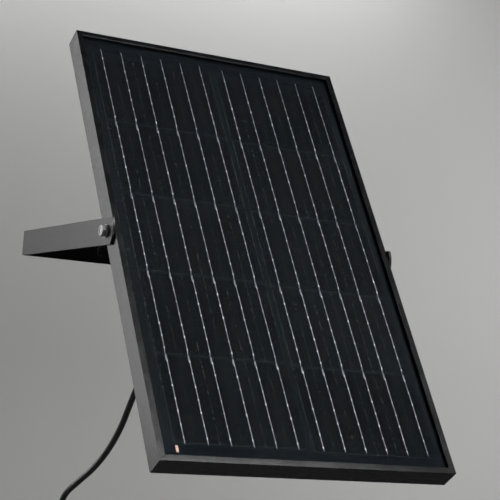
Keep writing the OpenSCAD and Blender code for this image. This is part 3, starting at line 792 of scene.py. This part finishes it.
def ribbon_strip(build, line, half, front, back):
    """A flat wire with chamfered upper corners along a line of (x, z, share of the width)."""
    points, faces = [], []
    for x, z, share in line:
        w = half * share
        left = ((-w, back), (-w, front + 0.05), (-w / 2, front))
        right = ((w / 2, front), (w, front + 0.05), (w, back))
        points += [on_panel(x + across, y, z) for across, y in left + right]
    n, count = 6, len(line)
    for i in range(count - 1):
        for j in range(n):
            k = (j + 1) % n
            faces.append((i * n + j, i * n + k, (i + 1) * n + k, (i + 1) * n + j))
    faces.append(tuple(reversed(range(n))))
    faces.append(tuple(range((count - 1) * n, count * n)))
    build.add(points, faces)


def solder_dot(build, rng, x, z):
    """A low dome of solder over the ribbon, a little uneven."""
    wide, tall = rng.uniform(0.36, 0.62), rng.uniform(0.6, 1.15)
    top = RIBBON_Y - 0.03
    points = [on_panel(x + rng.uniform(-0.08, 0.08), top, z)]
    for share, y in ((0.62, top + 0.03), (1.0, RIBBON_Y + RIBBON_T)):
        for j in range(8):
            turn = math.pi * j / 4
            points.append(on_panel(x + wide * share * math.cos(turn), y, z + tall * share * math.sin(turn)))
    faces = [(0, 1 + j, 1 + (j + 1) % 8) for j in range(8)]
    faces += [(1 + j, 9 + j, 9 + (j + 1) % 8, 1 + (j + 1) % 8) for j in range(8)]
    build.add(points, faces + [tuple(range(16, 8, -1))])


def one_ribbon(ribbons, dots, rng, x, low, high, pads, step_aside, tail):
    """A soldered ribbon with its dots, and the end that passes under the next cell up."""
    skew = rng.uniform(-0.12, 0.12)
    wave, phase = rng.uniform(0.03, 0.08), rng.uniform(0, 6.28)
    shift, lean = RIBBON_SHIFT[x > 0], RIBBON_LEAN[x > 0]
    end_step, end_height = 0.7, 3.0

    def aside(z):
        sway = skew * (z - low) / (high - low) + wave * math.sin(z / 5.3 + phase)
        sway += shift - lean * z
        return x + sway - end_step * max(0, 1 - (z - low) / end_height) * step_aside

    step = 0.9
    count = int((high - low) / step) + 1
    heights = [min(low + i * step, high) for i in range(count + 1)]
    line = [(aside(z), z, min(1, 0.55 + 0.9 * min(z - low, high - z))) for z in heights]
    ribbon_strip(ribbons, line, RIBBON_W / 2, RIBBON_Y + 0.06, RIBBON_Y + RIBBON_T)
    for pad in pads:
        solder_dot(dots, rng, aside(pad), pad)
    if tail:
        stub = [(aside(high) - 0.95 + 0.12 * k, high - 5.0 + 1.2 * k, 0.8) for k in range(5)]
        ribbon_strip(ribbons, stub, 0.2, RIBBON_Y + 0.1, RIBBON_Y + RIBBON_T)


def make_ribbons(tin, solder):
    """Six ribbons down each of the ten cells, with seven solder dots on each."""
    rng = random.Random(7)
    pad_count, pad_inset = 7, 4.6
    pad_gap = (CELL_H - 2 * pad_inset) / (pad_count - 1)
    ribbons, dots = Build(), Build()
    for column, drop in zip(COLUMN_X, COLUMN_DROP):
        for row in range(ROWS):
            start = CELLS_BOTTOM + drop + row * ROW_PITCH
            low = RIBBON_LOW if row == 0 else start + 0.3
            high = RIBBON_HIGH if row == ROWS - 1 else start + ROW_PITCH - 0.3
            for k in range(RIBBONS_PER_CELL):
                x = column + (k - (RIBBONS_PER_CELL - 1) / 2) * RIBBON_PITCH
                pads = [start + pad_inset + i * pad_gap + rng.uniform(-0.5, 0.5) for i in range(pad_count)]
                one_ribbon(ribbons, dots, rng, x, low, high, pads, min(row, 1), row < ROWS - 1)
    strips = new_piece("soldered_ribbons", ribbons.points, ribbons.faces, tin)
    domes = new_piece("solder_dots", dots.points, dots.faces, solder)
    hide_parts("tab_ribbons")
    for piece in (strips, domes):
        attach(piece, "panel")


# ------------------------------------------------------------------ the CAD nodes' looks

def dress(material, *names):
    """Gives CAD nodes a material in place of their own."""
    for name in names:
        mesh = nodes[name].data
        mesh.materials.clear()
        mesh.materials.append(material)


def dress_nodes(looks):
    """Gives every visible CAD node the look of what it is made of."""
    dress(looks["frame_z"], "frame_rail_left", "frame_rail_right")
    dress(looks["frame_x"], "frame_rail_top", "frame_rail_bottom")
    dress(looks["bracket"], "u_bracket")
    dress(looks["dark_screw"], "wall_screws", "wall_washers")
    dress(looks["steel"], "pivot_bolts", "pivot_washers", "pivot_nuts", "lid_screws", "terminal_clips")
    dress(looks["aluminium"], "corner_keys")
    dress(looks["foam"], "edge_tape", "box_gasket", "gland_seal")
    dress(looks["glass"], "front_glass")
    dress(looks["film"], "front_encapsulant")
    dress(looks["rear_film"], "rear_encapsulant")
    dress(looks["cells"], "cells_left", "cells_right")
    dress(looks["cover_film"], "collector_ribbons", "ribbon_cover", "output_tails")
    dress(looks["copper"], "copper_tab")
    dress(looks["back_film"], "back_sheet")
    dress(looks["silicone"], "box_adhesive")
    dress(looks["box"], "junction_box_base", "junction_box_lid", "terminal_block")
    dress(looks["nylon"], "gland_body", "gland_nut", "blocking_diode")
    dress(looks["boot"], "cable_boot")
    dress(looks["wire"], "inner_wires")


def soften_nodes():
    """Rounds the edges that the real pieces have rounded, by what each is made of."""
    for name in ("frame_rail_left", "frame_rail_right", "frame_rail_top", "frame_rail_bottom"):
        soften(nodes[name], 0.3)
    soften(nodes["u_bracket"], 0.3)
    for name in ("wall_screws", "wall_washers", "pivot_washers"):
        soften(nodes[name], 0.15)
    soften(nodes["pivot_bolts"], 0.22, limit=28)
    soften(nodes["junction_box_base"], 0.4)
    soften(nodes["junction_box_lid"], 0.3)
    soften(nodes["lid_screws"], 0.1)
    soften(nodes["gland_body"], 0.3)
    soften(nodes["gland_nut"], 0.35)
    soften(nodes["cable_boot"], 0.2)


# ------------------------------------------------------------------ studio

FLOOR_Z_M = -1.25
BACKDROP_Y_M = 3.4


def make_stage():
    """A pale floor that curves up into a backdrop, well clear of the object."""
    paint = studio_paint("studio_paint", (0.62, 0.62, 0.61), (0.58, 0.58, 0.575), 0.5)
    half_w, front, top, bend = 16, -16, 8, 1.2
    outline = [(front, FLOOR_Z_M)]
    for k in range(13):
        turn = math.radians(90 * k / 12)
        outline.append((
            BACKDROP_Y_M - bend + bend * math.sin(turn), FLOOR_Z_M + bend - bend * math.cos(turn)
        ))
    outline.append((BACKDROP_Y_M, top))
    points = [(x, y, z) for y, z in outline for x in (-half_w, half_w)]
    faces = [(2 * i, 2 * i + 1, 2 * i + 3, 2 * i + 2) for i in range(len(outline) - 1)]
    stage = new_piece("floor_and_backdrop", points, faces, paint)


def softbox(name, at, towards, width, height, watts, spread=180):
    """A soft rectangular light at a point, facing another, with a spread in degrees."""
    data = bpy.data.lights.new(name, "AREA")
    data.shape = "RECTANGLE"
    data.size = width
    data.size_y = height
    data.energy = watts
    data.spread = math.radians(spread)
    light = bpy.data.objects.new(name, data)
    light.location = at
    aim = Vector(towards) - Vector(at)
    light.rotation_mode = "QUATERNION"
    light.rotation_quaternion = aim.to_track_quat("-Z", "Y")
    light.visible_camera = False
    bpy.context.scene.collection.objects.link(light)


def make_lights():
    """Lamps in front, at the left and behind, over the floor and along the backdrop."""
    centre = (0, -0.15, -0.02)
    softbox("key_softbox", (0.46, -1.48, 1.26), (-0.04, -0.24, -0.12), 1.0, 0.4, 3.5, 52)
    softbox("side_softbox", (-1.85, 1.80, 0.72), centre, 1.7, 2.2, 12.5, 80)
    softbox("edge_softbox", (0.74, -2.0, -0.32), centre, 0.4, 0.4, 5)
    softbox("left_softbox", (-1.9, -0.4, 1.3), centre, 0.6, 0.6, 1)
    softbox("overhead", (-1.5, 2.0, 4.5), (-1.0, 1.0, -1.25), 4, 4, 8)
    softbox("backdrop_wash", (4.4, 0.6, 1.2), (3.0, 3.4, 0.2), 1.6, 1.2, 11, 70)
    softbox("backdrop_strip", (0.8, 2.95, 1.7), (0.8, 3.4, 1.15), 3.2, 0.25, 16.5)
    softbox("rear_softbox", (3.3, 1.7, 1.4), centre, 2.4, 2.4, 16, 80)


def make_world():
    """An even surround, whose strength differs for matt surfaces, shiny ones and the camera."""
    world = bpy.data.worlds.new("surround")
    bpy.context.scene.world = world
    world.use_nodes = True
    tree = world.node_tree
    tree.nodes.clear()
    path = tree.nodes.new("ShaderNodeLightPath")
    shader = None
    for colour, ray in (
        ((0.032, 0.034, 0.037, 1), None), ((0.17, 0.17, 0.172, 1), "Is Diffuse Ray"),
        ((0.36, 0.36, 0.36, 1), "Is Camera Ray"),
    ):
        plain = tree.nodes.new("ShaderNodeBackground")
        plain.inputs["Color"].default_value = colour
        if shader is None:
            shader = plain
            continue
        mix = tree.nodes.new("ShaderNodeMixShader")
        tree.links.new(path.outputs[ray], mix.inputs[0])
        tree.links.new(shader.outputs[0], mix.inputs[1])
        tree.links.new(plain.outputs[0], mix.inputs[2])
        shader = mix
    output = tree.nodes.new("ShaderNodeOutputWorld")
    tree.links.new(shader.outputs[0], output.inputs["Surface"])
    bpy.context.scene.view_settings.view_transform = "Standard"


# ------------------------------------------------------------------ putting it together

def make_looks():
    """Every material of the object, by a short name."""
    return {
        "frame_z": anodised_frame("anodised_upright", "z"),
        "frame_x": anodised_frame("anodised_level", "x"),
        "bracket": powder_coat(),
        "dark_screw": dark_screw_steel(),
        "steel": plated_metal("zinc_plate", (0.31, 0.31, 0.305), 0.38, (0.22, 0.225, 0.23)),
        "nickel": plated_metal("nickel_plate", (0.74, 0.73, 0.70), 0.12, (0.62, 0.61, 0.58)),
        "aluminium": mill_aluminium(),
        "foam": rubber("closed_foam", (0.018, 0.018, 0.018), 0.75),
        "boot": rubber("boot_rubber", (0.014, 0.014, 0.015), 0.48),
        "jacket": cable_jacket(),
        "glass": tempered_glass(),
        "film": clear_film(),
        "cells": silicon_cells(),
        "ribbon": tinned_ribbon("tinned_copper", (0.27, 0.275, 0.285), (0.82, 0.83, 0.84), 0.75),
        "solder": tinned_ribbon("solder_tin", (0.82, 0.83, 0.85), (0.93, 0.94, 0.95), 0.15),
        "cover_film": black_film("ribbon_cover_film", (0.0030, 0.0036, 0.0048), 0.5),
        "rear_film": black_film("rear_black_film", (0.0055, 0.0062, 0.0072), 0.5),
        "back_film": black_film("back_film", (0.0060, 0.0068, 0.0080), 0.5),
        "copper": bare_copper("bare_copper", (0.62, 0.37, 0.28), (0.46, 0.24, 0.16)),
        "silicone": silicone(),
        "box": moulded_plastic("box_moulding", (0.022, 0.022, 0.024), 0.5),
        "nylon": moulded_plastic("satin_nylon", (0.017, 0.017, 0.018), 0.42, 3.2, 0.03),
        "tie": moulded_plastic("tie_nylon_look", (0.024, 0.024, 0.026), 0.38, 2.8, 0.03),
        "wire": moulded_plastic("wire_insulation_look", (0.32, 0.025, 0.025), 0.35, 3.0, 0.02),
    }


make_camera()
looks = make_looks()
cable, cable_points = make_cable(looks["jacket"])
grip = plug_grip(looks["jacket"])
barrel = plug_barrel(looks["nickel"])
insulator = plug_insulator(looks["nylon"])
ties = make_ties(looks["tie"])
for on_cable in (grip, barrel, insulator, ties):
    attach(on_cable, "bracket")

make_ribbons(looks["ribbon"], looks["solder"])
dress_nodes(looks)
soften_nodes()

make_stage()
make_lights()
make_world()
